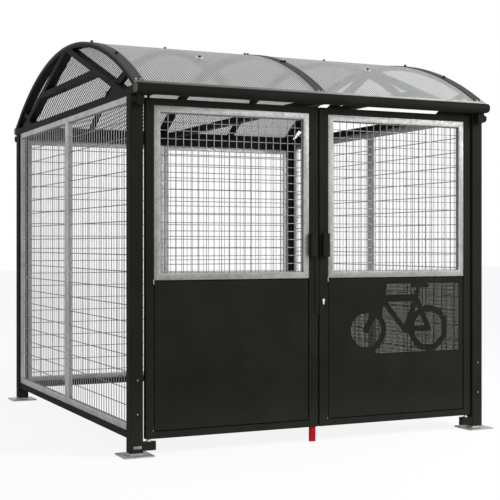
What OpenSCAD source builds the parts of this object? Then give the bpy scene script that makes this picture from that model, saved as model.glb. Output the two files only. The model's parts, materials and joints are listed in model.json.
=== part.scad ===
// Bike shelter: four posts, mesh walls, a barrel roof on arched trusses and a pair of hinged mesh doors.
// Millimetres. X runs across the door side, Y from the doors to the rear, Z up from the floor.
// The origin is the middle of the footprint, at floor level.

/* [Overall] */
// Width over the posts, across the door side
shelter_w = 2510; // [2200:10:3000]
// Depth over the posts, from the door side to the rear
shelter_d = 2785; // [2400:5:3200]
// Height of the posts' tops, where the roof trusses stand
post_top_z = 2129; // [1950:1:2400]
// Height of the roof's ridge
ridge_z = 2622.5; // [2450:0.5:2900]

/* [Posts] */
// Outside width of the square post tube
post_w = 80; // [66:1:100]
// Radius of the post tube's corners
post_round = 6; // [4:1:10]
// Wall thickness of the post and rail tubes
tube_wall = 3; // [2:0.5:4]
// Height of the post tube's lower end over the floor
post_foot_z = 19; // [12:1:30]
// Side of the square foot plate
plate_w = 190; // [160:5:240]
// Radius of the foot plate's corners
plate_round = 8; // [3:1:20]
// Thickness of the foot plate
plate_t = 8; // [5:1:12]
// Distance between the foot plate's bolt holes
plate_pitch = 140; // [110:5:180]
// Diameter of the foot plate's bolt holes
plate_hole = 14; // [10:1:18]
// Height of the stub that stands in the post
stub_h = 110; // [60:5:200]

/* [Rails] */
// Height of the bottom rails' underside
rail_z = 97; // [60:1:140]
// Height of a rail, beam or truss tie
rail_h = 43; // [30:1:60]
// Thickness of a rail, beam or truss through the wall
rail_d = 60; // [40:1:70]

/* [Wall panels] */
// Face width of the wall panels' frame bars
panel_bar = 40; // [25:1:50]
// Depth of the wall panels' frame bars
panel_d = 30; // [20:1:40]
// Setback of the wall panels' outer face from the posts' face
panel_in = 14; // [12:1:20]
// Pitch of the walls' upright wires
wall_pitch_x = 100; // [50:10:150]
// Pitch of the walls' level wires
wall_pitch_z = 100; // [50:10:150]
// Thickness of a mesh wire
wire = 5; // [4:0.5:6]

/* [Roof] */
// Distance from the posts' faces to the eave's nose
eave_out = 100; // [85:5:140]
// Height of the eave beam's face
eave_h = 60; // [50:1:70]
// Distance from the posts' faces to the eave beam's back
eave_back = 17.5; // [10:0.5:25]
// Distance from the end of the nose's curve back to the roof sheet's lower end
eave_rest = 32; // [20:1:36]
// Width of the blocks that carry the eave beam
block_w = 45; // [30:1:55]
// Distance from a post's outside to its eave block
block_in = 22; // [10:1:24]
// Depth of an eave block
block_out = 52; // [35:1:60]
// Height of an eave block
block_h = 65; // [40:1:90]
// Depth of the trusses' hoops
hoop_t = 20; // [16:1:30]
// Thickness of the struts and collars seen from the side
strut_t = 40; // [30:1:50]
// Height of the collar's middle over the tie's top
collar_up = 184; // [140:1:220]
// Distance from the posts' faces to the foot of a strut's middle line
strut_in = 158; // [120:1:200]
// Width of a web bar across the truss
web_w = 30; // [20:1:40]
// Thickness of a web bar seen from the side
web_t = 36; // [24:1:44]
// Distance from the posts' faces to a web bar's lower end
web_low_in = 352; // [320:1:380]
// Height of a web bar's lower end over the tie's top
web_low_up = 47; // [40:1:55]
// Distance from the posts' faces to a web bar's upper end
web_high_in = 132; // [125:1:140]
// Height of a web bar's upper end over the tie's top
web_high_up = 112; // [106:1:118]
// Distance from the posts' faces to the gusset plate's point
gusset_in = 450; // [400:1:500]
// Length of the gusset plate's sloped edge along the tie
gusset_run = 83; // [60:1:100]
// Height of the gusset plate
gusset_up = 42; // [30:1:50]
// Height of the blocks at a truss's ends
end_block_h = 52; // [45:1:60]
// Width of a rafter
rafter_w = 40; // [30:1:50]
// Depth of a rafter
rafter_d = 30; // [20:1:40]
// Thickness of the roof sheets
sheet_t = 10; // [6:1:16]
// Gap between the two roof sheets, under the middle strip
sheet_gap = 2; // [1:1:6]
// Thickness of the cover strips
strip_t = 4; // [2:1:6]
// Width of the middle cover strip
strip_w = 65; // [50:1:80]
// Width of the cover strips at the roof's two ends
end_strip_w = 64; // [40:1:70]
// Thickness of the end strips' turned-down lips
lip_t = 3.7; // [2:0.1:5]

/* [Doors] */
// Gap between a door leaf and its post
post_gap = 18; // [14:1:30]
// Gap between the two door leaves
leaf_gap = 12; // [12:1:16]
// Height of the leaves' underside
leaf_z = 96; // [96:1:110]
// Gap over the leaves, up to the posts' tops
leaf_top_gap = 17; // [15:1:30]
// Thickness of a door leaf
leaf_t = 40; // [36:1:50]
// Setback of the leaves' face from the posts' face
leaf_back = 5; // [2:1:12]
// Width of the hinge stile
hinge_stile = 50; // [50:1:60]
// Width of the lock stile
lock_stile = 62; // [56:1:70]
// Height of a leaf's top and bottom rail
leaf_rail = 41; // [40:1:60]
// Height of the door windows' underside
window_z = 1033; // [900:1:1100]
// Depth of the door windows' frame bars
window_d = 36; // [20:1:36]
// Pitch of the door windows' wires
door_pitch = 100; // [50:5:100]
// Face width of the door windows' frame bars
window_bar = 40; // [25:1:45]
// Thickness of the lower door sheets
door_sheet_t = 2; // [1.5:0.5:3]
// Depth of the lower door sheets' folded edges
fold_d = 25; // [15:1:30]
// Setback of the lower door sheets from the leaves' face
door_sheet_back = 4; // [1:1:6]

/* [Hinges and fittings] */
// Distance from a leaf's edge to its pivot
pivot_in = 23; // [23:1:25]
// Diameter of the pivot pins
pin_d = 16; // [12:1:18]
// Radial clearance of a pin in its bore
pin_gap = 0.08; // [0.05:0.01:0.1]
// Depth of the pin bores in the leaves
bore_deep = 40; // [30:1:40]
// Height of the lower pivot arms
arm_h = 50; // [30:1:50]
// Gap between a lower pivot arm and its leaf
arm_drop = 16; // [8:1:20]
// Thickness of the upper pivot arms
arm_top_t = 20; // [12:1:30]
// Width of the pivot arms
arm_w = 44; // [30:1:50]
// How far the lower arm runs past its pin before the round end
arm_nose = 24; // [0:1:40]
// Height of the red drop bolt's lower end over the floor at rest
bolt_z = 3; // [2:1:6]
// Width of the drop bolt
bolt_w = 38; // [30:1:40]
// Depth of the drop bolt
bolt_d = 26; // [20:1:28]
// Length of the drop bolt inside its stile at rest
bolt_in = 60; // [40:5:80]
// Height to which the drop bolt can be lifted
bolt_lift = 80; // [60:5:90]
// Clearance of the drop bolt in its stile
bolt_gap = 0.5; // [0.3:0.1:1]
// Height of the handles' underside
handle_z = 1167; // [1000:1:1300]
// Height of a handle
handle_h = 150; // [100:1:200]
// Distance by which a handle stands out from its leaf
handle_out = 28; // [20:1:40]
// Distance from a leaf's lock edge to its handle
handle_side = 14; // [8:1:24]
// Width of the strip that covers the gap between the leaves
meet_w = 30; // [20:1:40]
// Thickness of the meeting strip
meet_t = 4; // [3:1:6]
// Height of the meeting strip's lower end
meet_z = 805; // [600:1:900]
// Height of the lock cylinder's middle
lock_z = 893; // [850:1:950]
// Distance from the leaf's lock edge to the lock cylinder
lock_in = 26; // [20:1:40]
// Diameter of the lock cylinder's head
lock_d = 17; // [14:1:20]
// Distance by which the lock cylinder stands out
lock_out = 6; // [4:1:10]

/* [Hidden] */
$fn = 96;
half_w = shelter_w / 2;
half_d = shelter_d / 2;
eave_y = half_d + eave_out;
side_x = half_w - (post_w - rail_d) / 2;
tie_top = post_top_z + rail_h;
rail_top = rail_z + rail_h;

// The roof's layers lie on circles about one axis along X, from the ridge down to the eave beams' seats.
layer_gap = 0.3;
eave_z0 = post_top_z;
nose_r = eave_h / 2;
eave_seat = eave_y - nose_r - eave_rest;
eave_in = half_d + eave_back;
hoop_top = ridge_z - strip_t - sheet_t - 2 * layer_gap;
hoop_rise = hoop_top - (eave_z0 + eave_h - 4);
hoop_r = (eave_seat * eave_seat + hoop_rise * hoop_rise) / (2 * hoop_rise);
hoop_in = hoop_r - hoop_t;
sheet_in = hoop_r + layer_gap;
sheet_r = sheet_in + sheet_t;
strip_in = sheet_r + layer_gap;
strip_r = strip_in + strip_t;
roof_cz = hoop_top - hoop_r;

leaf_hinge_x = half_w - post_w - post_gap;
leaf_lock_x = leaf_gap / 2;
leaf_y0 = -half_d + leaf_back;
leaf_y1 = leaf_y0 + leaf_t;
leaf_top = post_top_z - leaf_top_gap;
leaf_mid_y = (leaf_y0 + leaf_y1) / 2;
pivot_x = leaf_hinge_x - pivot_in;
win_x0 = leaf_lock_x + lock_stile;
win_x1 = leaf_hinge_x - hinge_stile;
win_top = leaf_top - leaf_rail;
sheet_z0 = leaf_z + leaf_rail;
arm_z0 = leaf_z - arm_drop - arm_h;
bolt_x = leaf_lock_x + lock_stile / 2;
bolt_top = leaf_z + bolt_in;

black = [0.13, 0.13, 0.12];
zinc = [0.66, 0.67, 0.66];
clear_sheet = [0.78, 0.79, 0.8];
red = [0.62, 0.07, 0.1];
bright = [0.8, 0.8, 0.78];

// ---- shared shapes ----

// A rectangle with round corners, about its middle.
module round_rect(w, d, r) {
    square([w - 2 * r, d], center = true);
    square([w, d - 2 * r], center = true);
    for (x = [-1, 1])
        for (y = [-1, 1])
            translate([x * (w / 2 - r), y * (d / 2 - r)])
                circle(r);
}

// A tube section with round corners.
module tube_section(w, d, wall, r) {
    difference() {
        round_rect(w, d, r);
        round_rect(w - 2 * wall, d - 2 * wall, r / 2);
    }
}

// A profile drawn in Y and Z, drawn out along X from x0 to x1.
module along_x(x0, x1) {
    translate([x0, 0, 0])
        rotate([90, 0, 90])
            linear_extrude(x1 - x0)
                children();
}

// Puts a corner piece at the left or right (sx = -1 or 1), front or rear (sy = -1 or 1).
module at_corner(sx, sy) {
    translate([sx * (half_w - post_w / 2), sy * (half_d - post_w / 2), 0])
        children();
}

// ---- posts and feet ----

module post(sx, sy) {
    color(black)
        at_corner(sx, sy)
            translate([0, 0, post_foot_z])
                linear_extrude(post_top_z - post_foot_z)
                    tube_section(post_w, post_w, tube_wall, post_round);
}

module foot(sx, sy) {
    stub_w = post_w - 2 * tube_wall - 1;
    color(zinc)
        at_corner(sx, sy) {
            difference() {
                linear_extrude(plate_t)
                    round_rect(plate_w, plate_w, plate_round);
                for (x = [-1, 1])
                    for (y = [-1, 1])
                        translate([x * plate_pitch / 2, y * plate_pitch / 2, -1])
                            cylinder(h = plate_t + 2, d = plate_hole);
            }
            translate([0, 0, plate_t])
                linear_extrude(stub_h)
                    tube_section(stub_w, stub_w, tube_wall, 3);
        }
}

// ---- rails ----

module side_rail(sx) {
    color(black)
        translate([sx * (half_w - post_w / 2), half_d - post_w, rail_z + rail_h / 2])
            rotate([90, 0, 0])
                linear_extrude(shelter_d - 2 * post_w)
                    tube_section(rail_d, rail_h, tube_wall, 3);
}

module rear_rail(z) {
    color(black)
        translate([-half_w + post_w, half_d - post_w / 2, z + rail_h / 2])
            rotate([90, 0, 90])
                linear_extrude(shelter_w - 2 * post_w)
                    tube_section(rail_d, rail_h, tube_wall, 3);
}

// ---- roof ----

// The ring between two radii, kept over the posts and between the eave beams, in Y and Z.
module arch(r0, r1, reach) {
    intersection() {
        translate([0, roof_cz])
            difference() {
                circle(r1, $fn = 360);
                circle(r0, $fn = 360);
            }
        translate([-reach, eave_z0 - 20])
            square([2 * reach, ridge_z]);
    }
}

// A straight bar of the truss, of thickness t, between two points in Y and Z.
module bar(a, b, t) {
    dy = b[0] - a[0];
    dz = b[1] - a[1];
    translate(a)
        rotate(atan2(dz, dy))
            translate([0, -t / 2])
                square([sqrt(dy * dy + dz * dz), t]);
}

// Keeps what it is given a little under the hoops' upper face.
module under_hoop() {
    intersection() {
        children();
        translate([0, roof_cz])
            circle(hoop_r - 4, $fn = 360);
    }
}

// A hoop with its tie and its two end blocks, which is all that the middle one has.
module hoop_outline() {
    arch(hoop_in, hoop_r, eave_in);
    translate([-half_d, post_top_z])
        square([shelter_d, rail_h]);
    for (s = [-1, 1])
        translate([s * (eave_in - post_w / 2) - post_w / 2, post_top_z])
            square([post_w, end_block_h]);
}

module strut_outline() {
    apex = [0, hoop_top - 1];
    foot = [half_d - strut_in, post_top_z + rail_h / 2];
    collar_z = tie_top + collar_up;
    collar_y = foot[0] * (apex[1] - collar_z) / (apex[1] - foot[1]);
    translate([-collar_y, collar_z - strut_t / 2])
        square([2 * collar_y, strut_t]);
    under_hoop()
        for (s = [-1, 1])
            bar([s * foot[0], foot[1]], apex, strut_t);
    for (s = [-1, 1])
        polygon([
            [s * (half_d - gusset_in), tie_top - 1],
            [s * (half_d - gusset_in), tie_top],
            [s * (half_d - gusset_in + gusset_run), tie_top + gusset_up],
            [s * foot[0], foot[1]]
        ]);
}

module truss_outline() {
    hoop_outline();
    strut_outline();
}

module web_outline() {
    under_hoop()
        for (s = [-1, 1])
            bar(
                [s * (half_d - web_low_in), tie_top + web_low_up],
                [s * (half_d - web_high_in), tie_top + web_high_up],
                web_t
            );
}

module truss(x0) {
    color(black) {
        along_x(x0, x0 + rail_d)
            truss_outline();
        along_x(x0 + (rail_d - web_w) / 2, x0 + (rail_d + web_w) / 2)
            web_outline();
    }
}

module tied_hoop(x0) {
    color(black)
        along_x(x0, x0 + rail_d)
            hoop_outline();
}

module rafter(x) {
    color(black)
        along_x(x - rafter_w / 2, x + rafter_w / 2)
            arch(hoop_r - rafter_d, hoop_r, eave_in);
}

module roof_sheet(x0, x1) {
    color(clear_sheet)
        along_x(x0, x1)
            arch(sheet_in, sheet_r, eave_seat);
}

module cover_strip(x0, x1) {
    color(black)
        along_x(x0, x1)
            arch(strip_in, strip_r, eave_seat);
}

// The strip at the roof's right end, with a lip turned down over the sheet's edge.
module end_cover() {
    cover_strip(side_x - end_strip_w, side_x);
    color(black)
        along_x(side_x - lip_t, side_x)
            arch(sheet_in, strip_r, eave_seat);
}

// The eave beam: a half-round nose with a sloped seat for the roof sheet.
module eave_outline() {
    seat_z = roof_cz + sqrt(hoop_r * hoop_r - eave_seat * eave_seat);
    back_z = roof_cz + sqrt(hoop_r * hoop_r - eave_in * eave_in);
    difference() {
        union() {
            translate([-eave_y + nose_r, eave_z0 + nose_r])
                circle(nose_r);
            polygon([
                [-eave_y + nose_r, eave_z0],
                [-eave_in, eave_z0],
                [-eave_in, back_z],
                [-eave_seat, seat_z],
                [-eave_y + nose_r, eave_z0 + eave_h]
            ]);
        }
        translate([-eave_y + nose_r, eave_z0 + nose_r])
            circle(nose_r - tube_wall);
        polygon([
            [-eave_y + nose_r, eave_z0 + tube_wall],
            [-eave_in - tube_wall, eave_z0 + tube_wall],
            [-eave_in - tube_wall, back_z - 2 * tube_wall],
            [-eave_seat, seat_z - tube_wall - 1],
            [-eave_y + nose_r, eave_z0 + eave_h - tube_wall]
        ]);
    }
}

module eave() {
    color(black) {
        along_x(-side_x, side_x)
            eave_outline();
        // The two blocks that carry the beam on the posts' faces.
        for (s = [-1, 1])
            translate([
                s * (half_w - block_in - block_w / 2) - block_w / 2,
                -half_d - block_out,
                eave_z0 - block_h
            ])
                cube([block_w, block_out - layer_gap, block_h]);
    }
}

// ---- walls ----

// A flat framed mesh in its own plane: u runs along the wall and v upwards.
module mesh_outline(w, h, frame_bar, pitch_u, pitch_v) {
    inner_w = w - 2 * frame_bar;
    inner_h = h - 2 * frame_bar;
    count_u = floor((inner_w - 8) / pitch_u);
    count_v = floor((inner_h - 8) / pitch_v);
    for (i = [0:count_u])
        translate([(i - count_u / 2) * pitch_u - wire / 2, -h / 2 + frame_bar / 2])
            square([wire, h - frame_bar]);
    for (i = [0:count_v])
        translate([-w / 2 + frame_bar / 2, (i - count_v / 2) * pitch_v - wire / 2])
            square([w - frame_bar, wire]);
}

module framed_mesh(w, h, frame_bar, depth, pitch_u, pitch_v) {
    translate([0, 0, -depth / 2])
        linear_extrude(depth)
            difference() {
                square([w, h], center = true);
                square([w - 2 * frame_bar, h - 2 * frame_bar], center = true);
            }
    translate([0, 0, -wire / 2])
        linear_extrude(wire)
            mesh_outline(w, h, frame_bar, pitch_u, pitch_v);
}

wall_h = post_top_z - rail_top;
side_panel_w = half_d - post_w - 0.5;
rear_panel_w = half_w - post_w - 0.5;

module side_wall(sx, sy) {
    color(zinc)
        translate([
            sx * (half_w - panel_in - panel_d / 2),
            sy * (half_d - post_w - side_panel_w / 2),
            rail_top + wall_h / 2
        ])
            rotate([90, 0, 90])
                framed_mesh(side_panel_w, wall_h, panel_bar, panel_d, wall_pitch_x, wall_pitch_z);
}

module rear_wall(sx) {
    h = wall_h - rail_h;
    color(zinc)
        translate([
            sx * (half_w - post_w - rear_panel_w / 2),
            half_d - panel_in - panel_d / 2,
            rail_top + h / 2
        ])
            rotate([90, 0, 0])
                framed_mesh(rear_panel_w, h, panel_bar, panel_d, wall_pitch_x, wall_pitch_z);
}

// ---- doors, drawn for the right leaf and mirrored for the left ----

module leaf_frame(with_bolt) {
    difference() {
        translate([leaf_lock_x, leaf_y0, leaf_z])
            cube([leaf_hinge_x - leaf_lock_x, leaf_t, leaf_top - leaf_z]);
        translate([win_x0, leaf_y0 - 1, sheet_z0])
            cube([win_x1 - win_x0, leaf_t + 2, win_top - sheet_z0]);
        translate([pivot_x, leaf_mid_y, leaf_z - 1])
            cylinder(h = bore_deep + 1, d = pin_d + 2 * pin_gap);
        translate([pivot_x, leaf_mid_y, leaf_top - bore_deep])
            cylinder(h = bore_deep + 1, d = pin_d + 2 * pin_gap);
        if (with_bolt)
            translate([bolt_x, leaf_mid_y, leaf_z - 1])
                linear_extrude(bolt_top + bolt_lift + 10 - leaf_z)
                    round_rect(bolt_w + 2 * bolt_gap, bolt_d + 2 * bolt_gap, 4 + bolt_gap);
    }
}

module leaf_window() {
    translate([(win_x0 + win_x1) / 2, leaf_mid_y, (window_z + win_top) / 2])
        rotate([90, 0, 0])
            framed_mesh(
                win_x1 - win_x0, win_top - window_z, window_bar, window_d, door_pitch, door_pitch
            );
}

module leaf_sheet() {
    w = win_x1 - win_x0;
    h = window_z - sheet_z0;
    translate([win_x0, leaf_y0 + door_sheet_back, sheet_z0])
        difference() {
            cube([w, fold_d, h]);
            translate([door_sheet_t, door_sheet_t, door_sheet_t])
                cube([w - 2 * door_sheet_t, fold_d, h - 2 * door_sheet_t]);
        }
}

module leaf_handle() {
    translate([leaf_lock_x + handle_side, leaf_y0 - handle_out, handle_z])
        cube([lock_stile - handle_side, handle_out, handle_h]);
}

// ---- pivots ----

module pivot_low() {
    translate([pivot_x, leaf_mid_y, arm_z0]) {
        linear_extrude(arm_h)
            translate([-arm_nose, 0])
                circle(arm_w / 2);
        translate([-arm_nose, -arm_w / 2, 0])
            cube([half_w - post_w - pivot_x + arm_nose, arm_w, arm_h]);
        cylinder(h = leaf_z - arm_z0 + bore_deep - 4, d = pin_d);
    }
}

module pivot_top() {
    pin_z = leaf_top - bore_deep + 4;
    translate([pivot_x, leaf_mid_y, post_top_z]) {
        linear_extrude(arm_top_t)
            circle(arm_w / 2);
        translate([0, -arm_w / 2, 0])
            cube([side_x - rail_d - 0.5 - pivot_x, arm_w, arm_top_t]);
    }
    translate([pivot_x, leaf_mid_y, pin_z])
        cylinder(h = post_top_z + arm_top_t - pin_z, d = pin_d);
}

// ---- the nodes ----

module post_front_left() { post(-1, -1); }
module post_front_right() { post(1, -1); }
module post_rear_left() { post(-1, 1); }
module post_rear_right() { post(1, 1); }
module foot_front_left() { foot(-1, -1); }
module foot_front_right() { foot(1, -1); }
module foot_rear_left() { foot(-1, 1); }
module foot_rear_right() { foot(1, 1); }
module rail_left() { side_rail(-1); }
module rail_right() { side_rail(1); }
module rail_rear() { rear_rail(rail_z); }
module beam_rear() { rear_rail(post_top_z - rail_h); }
module truss_left() { truss(-side_x); }
module truss_middle() { tied_hoop(-rail_d / 2); }
module truss_right() { truss(side_x - rail_d); }
module rafter_left() { rafter(-half_w / 2); }
module rafter_right() { rafter(half_w / 2); }
module wall_left_front() { side_wall(-1, -1); }
module wall_left_rear() { side_wall(-1, 1); }
module wall_right_front() { side_wall(1, -1); }
module wall_right_rear() { side_wall(1, 1); }
module wall_rear_left() { rear_wall(-1); }
module wall_rear_right() { rear_wall(1); }
module roof_left() { roof_sheet(-side_x + lip_t + layer_gap, -sheet_gap / 2); }
module roof_right() { roof_sheet(sheet_gap / 2, side_x - lip_t - layer_gap); }
module cover_left() { mirror([1, 0, 0]) end_cover(); }
module cover_middle() { cover_strip(-strip_w / 2, strip_w / 2); }
module cover_right() { end_cover(); }
module eave_front() { eave(); }
module eave_rear() { mirror([0, 1, 0]) eave(); }
module pivot_low_right() { color(black) pivot_low(); }
module pivot_low_left() { color(black) mirror([1, 0, 0]) pivot_low(); }
module pivot_top_right() { color(black) pivot_top(); }
module pivot_top_left() { color(black) mirror([1, 0, 0]) pivot_top(); }
module door_right() { color(black) leaf_frame(false); }
module door_left() { color(black) mirror([1, 0, 0]) leaf_frame(true); }
module window_right() { color(zinc) leaf_window(); }
module window_left() { color(zinc) mirror([1, 0, 0]) leaf_window(); }
module sheet_right() { color(black) leaf_sheet(); }
module sheet_left() { color(black) mirror([1, 0, 0]) leaf_sheet(); }
module handle_right() { color(black) leaf_handle(); }
module handle_left() { color(black) mirror([1, 0, 0]) leaf_handle(); }

// The strip that covers most of the gap between the leaves, under the handles.
module meeting_strip() {
    color(black)
        translate([-meet_w, leaf_y0 - meet_t, meet_z])
            cube([meet_w, meet_t, handle_z - 2 - meet_z]);
}

// The lock cylinder's end on the right leaf: a round head on a narrower foot.
module lock_cylinder() {
    color(bright)
        translate([leaf_lock_x + lock_in, leaf_y0, lock_z])
            rotate([90, 0, 0])
                linear_extrude(lock_out) {
                    circle(lock_d / 2);
                    translate([-5, -22])
                        square([10, 20]);
                    translate([0, -22])
                        circle(5);
                }
}

module drop_bolt() {
    color(red)
        translate([-bolt_x, leaf_mid_y, bolt_z])
            linear_extrude(bolt_top - bolt_z)
                round_rect(bolt_w, bolt_d, 4);
}

post_front_left();
post_front_right();
post_rear_left();
post_rear_right();
foot_front_left();
foot_front_right();
foot_rear_left();
foot_rear_right();
rail_left();
rail_right();
rail_rear();
beam_rear();
truss_left();
truss_middle();
truss_right();
rafter_left();
rafter_right();
wall_left_front();
wall_left_rear();
wall_right_front();
wall_right_rear();
wall_rear_left();
wall_rear_right();
roof_left();
roof_right();
cover_left();
cover_middle();
cover_right();
eave_front();
eave_rear();
pivot_low_left();
pivot_low_right();
pivot_top_left();
pivot_top_right();
door_left();
door_right();
window_left();
window_right();
sheet_left();
sheet_right();
handle_left();
handle_right();
meeting_strip();
lock_cylinder();
drop_bolt();
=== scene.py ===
# %% [markdown]
# # A bike shelter with mesh walls, a barrel roof and a pair of doors
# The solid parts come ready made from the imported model. This script dresses them: it gives every
# part its finish, swaps the plain wall and window panels for ones with round wires, and adds the
# screws, rivets, caps and punched holes that a fitter would see. Everything is in metres.

# %% Load the model
import json
import math
import bpy
from mathutils import Matrix, Vector


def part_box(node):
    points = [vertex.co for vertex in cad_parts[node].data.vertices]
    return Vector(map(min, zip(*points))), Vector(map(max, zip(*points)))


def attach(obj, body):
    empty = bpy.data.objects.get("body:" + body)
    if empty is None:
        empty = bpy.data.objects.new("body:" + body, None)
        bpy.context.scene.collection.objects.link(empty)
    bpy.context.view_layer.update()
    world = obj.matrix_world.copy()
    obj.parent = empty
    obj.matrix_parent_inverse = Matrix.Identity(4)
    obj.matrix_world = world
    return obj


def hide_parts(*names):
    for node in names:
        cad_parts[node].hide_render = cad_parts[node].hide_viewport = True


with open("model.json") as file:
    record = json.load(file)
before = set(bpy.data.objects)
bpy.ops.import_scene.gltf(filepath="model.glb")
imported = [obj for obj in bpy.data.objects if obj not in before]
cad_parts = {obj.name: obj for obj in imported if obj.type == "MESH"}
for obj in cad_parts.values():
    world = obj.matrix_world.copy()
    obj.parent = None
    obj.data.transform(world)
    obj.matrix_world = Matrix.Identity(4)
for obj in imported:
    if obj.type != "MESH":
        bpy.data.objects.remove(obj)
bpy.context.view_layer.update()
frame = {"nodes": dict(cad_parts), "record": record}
nodes = frame["nodes"]

# %% [markdown]
# ## Small helpers
# An operator acts on whatever is selected, so each helper starts by selecting nothing. Every piece
# is made where it belongs and its place is then applied, so that its object stays at the origin.

# %% Helpers for objects
def select_none():
    if bpy.context.object and bpy.context.object.mode != "OBJECT":
        bpy.ops.object.mode_set(mode="OBJECT")
    bpy.ops.object.select_all(action="DESELECT")


def select_only(obj):
    select_none()
    obj.select_set(True)
    bpy.context.view_layer.objects.active = obj


def settle(obj):
    """Puts the object's place, turn and size into its mesh."""
    select_only(obj)
    bpy.ops.object.transform_apply(location=True, rotation=True, scale=True)
    return obj


def in_edit_mode(obj):
    select_only(obj)
    bpy.ops.object.mode_set(mode="EDIT")
    bpy.ops.mesh.select_all(action="SELECT")


def pick_faces(obj, test):
    """In edit mode, selects only the faces whose middle and normal pass the test."""
    bpy.ops.mesh.select_mode(type="FACE")
    bpy.ops.mesh.select_all(action="DESELECT")
    bpy.ops.object.mode_set(mode="OBJECT")
    for face in obj.data.polygons:
        face.select = bool(test(face.center, face.normal))
    bpy.ops.object.mode_set(mode="EDIT")


def pick_edges(obj, test):
    """In edit mode, selects only the edges whose two ends pass the test."""
    bpy.ops.mesh.select_mode(type="EDGE")
    bpy.ops.mesh.select_all(action="DESELECT")
    bpy.ops.object.mode_set(mode="OBJECT")
    points = obj.data.vertices
    for edge in obj.data.edges:
        edge.select = bool(test(points[edge.vertices[0]].co, points[edge.vertices[1]].co))
    bpy.ops.object.mode_set(mode="EDIT")


def outward_normals(obj):
    in_edit_mode(obj)
    bpy.ops.mesh.remove_doubles(threshold=0.00001)
    bpy.ops.mesh.normals_make_consistent(inside=False)
    bpy.ops.object.mode_set(mode="OBJECT")


def apply_modifier(obj, kind, **values):
    select_only(obj)
    modifier = obj.modifiers.new(kind.title(), kind)
    for key, value in values.items():
        setattr(modifier, key, value)
    bpy.ops.object.modifier_apply(modifier=modifier.name)


def ease_edges(obj, width, segments=2, angle=40):
    """Rounds every sharp edge, as real tube and plate has."""
    apply_modifier(obj, "BEVEL", width=width, segments=segments, limit_method="ANGLE",
                   angle_limit=math.radians(angle))


def join(name, pieces):
    select_none()
    for piece in pieces:
        piece.select_set(True)
    bpy.context.view_layer.objects.active = pieces[0]
    if len(pieces) > 1:
        bpy.ops.object.join()
    joined = bpy.context.object
    joined.name = name
    joined.data.name = name
    return joined


def copy_at(obj, matrix):
    """A copy with a mesh of its own, moved and turned by the matrix."""
    twin = obj.copy()
    twin.data = obj.data.copy()
    twin.data.transform(matrix)
    bpy.context.collection.objects.link(twin)
    return twin


def discard(obj):
    bpy.data.objects.remove(obj, do_unlink=True)


# %% [markdown]
# Two shapes turn up all over a welded steel shelter: the block or flat plate with eased edges, and
# the round rod. Each starts from a primitive and is then shaped in edit mode.

# %% Blocks and rods
def block(name, low, high, ease=0.002, segments=2):
    low, high = Vector(low), Vector(high)
    select_none()
    bpy.ops.mesh.primitive_cube_add(size=1, location=(low + high) / 2)
    obj = bpy.context.object
    obj.name = name
    obj.scale = high - low
    settle(obj)
    in_edit_mode(obj)
    bpy.ops.mesh.bevel(offset=ease, segments=segments, affect="EDGES")
    bpy.ops.object.mode_set(mode="OBJECT")
    return obj


def rod(name, start, end, radius, sides=8, ease=0.0):
    start, end = Vector(start), Vector(end)
    line = end - start
    select_none()
    bpy.ops.mesh.primitive_cylinder_add(vertices=sides, radius=radius, depth=line.length)
    obj = bpy.context.object
    obj.name = name
    obj.matrix_world = (Matrix.Translation((start + end) / 2)
                        @ line.to_track_quat("Z", "Y").to_matrix().to_4x4())
    settle(obj)
    if ease:
        ease_edges(obj, ease, 2, 60)
    return obj


def repeated(obj, step, count):
    """Repeats a piece along a step, as one mesh."""
    apply_modifier(obj, "ARRAY", count=count, use_relative_offset=False,
                   use_constant_offset=True, constant_offset_displace=step)
    return obj


# %% [markdown]
# ## Camera, light and floor
# The shelter is seen from a little over a metre up, to the left of its doors. The world is
# white to the camera and to reflections, and gives an even light. Two broad lamps add shape. The
# camera is level and its frame is shifted instead of tilted, which keeps the posts upright.

# %% Camera
camera_data = bpy.data.cameras.new("Camera")
camera = bpy.data.objects.new("Camera", camera_data)
bpy.context.collection.objects.link(camera)
camera.location = (-3.4755, -7.7816, 1.249)
camera.rotation_euler = (math.radians(90), 0, math.radians(-25.1))
camera_data.sensor_width = 36
camera_data.lens = 82.77
camera_data.shift_y = -0.0122
camera_data.clip_end = 200
bpy.context.scene.camera = camera
bpy.context.scene.view_settings.view_transform = "Standard"

# %% [markdown]
# The world, the floor and every finish are made of shader nodes. This helper adds one node and sets
# its choices and its sockets in the same call, so that a finish reads as a short list.

# %% Node helper
def node(tree, kind, inputs=None, **settings):
    made = tree.nodes.new(kind)
    for key, value in settings.items():
        setattr(made, key, value)
    for key, value in (inputs or {}).items():
        made.inputs[key].default_value = value
    return made


# %% [markdown]
# A plain white world would light every side alike and wash the black steel out. So a light path
# node picks between two whites: a bright one that is seen, directly, through something clear or in
# a gloss, and a weaker, slightly cool one for the light that falls on the shelter.

# %% World
world = bpy.data.worlds.new("Studio")
bpy.context.scene.world = world
world.use_nodes = True
sky = world.node_tree
sky.nodes.clear()
rays = node(sky, "ShaderNodeLightPath")
seen_or_through = node(sky, "ShaderNodeMath", operation="MAXIMUM")
seen_or_mirrored = node(sky, "ShaderNodeMath", operation="MAXIMUM")
ambient = node(sky, "ShaderNodeBackground", {"Color": (0.97, 0.985, 1.0, 1), "Strength": 0.62})
backdrop = node(sky, "ShaderNodeBackground", {"Color": (1, 1, 1, 1), "Strength": 1.0})
pick = node(sky, "ShaderNodeMixShader")
out = node(sky, "ShaderNodeOutputWorld")
sky.links.new(rays.outputs["Is Camera Ray"], seen_or_through.inputs[0])
sky.links.new(rays.outputs["Is Transmission Ray"], seen_or_through.inputs[1])
sky.links.new(seen_or_through.outputs[0], seen_or_mirrored.inputs[0])
sky.links.new(rays.outputs["Is Glossy Ray"], seen_or_mirrored.inputs[1])
sky.links.new(seen_or_mirrored.outputs[0], pick.inputs["Fac"])
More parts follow.
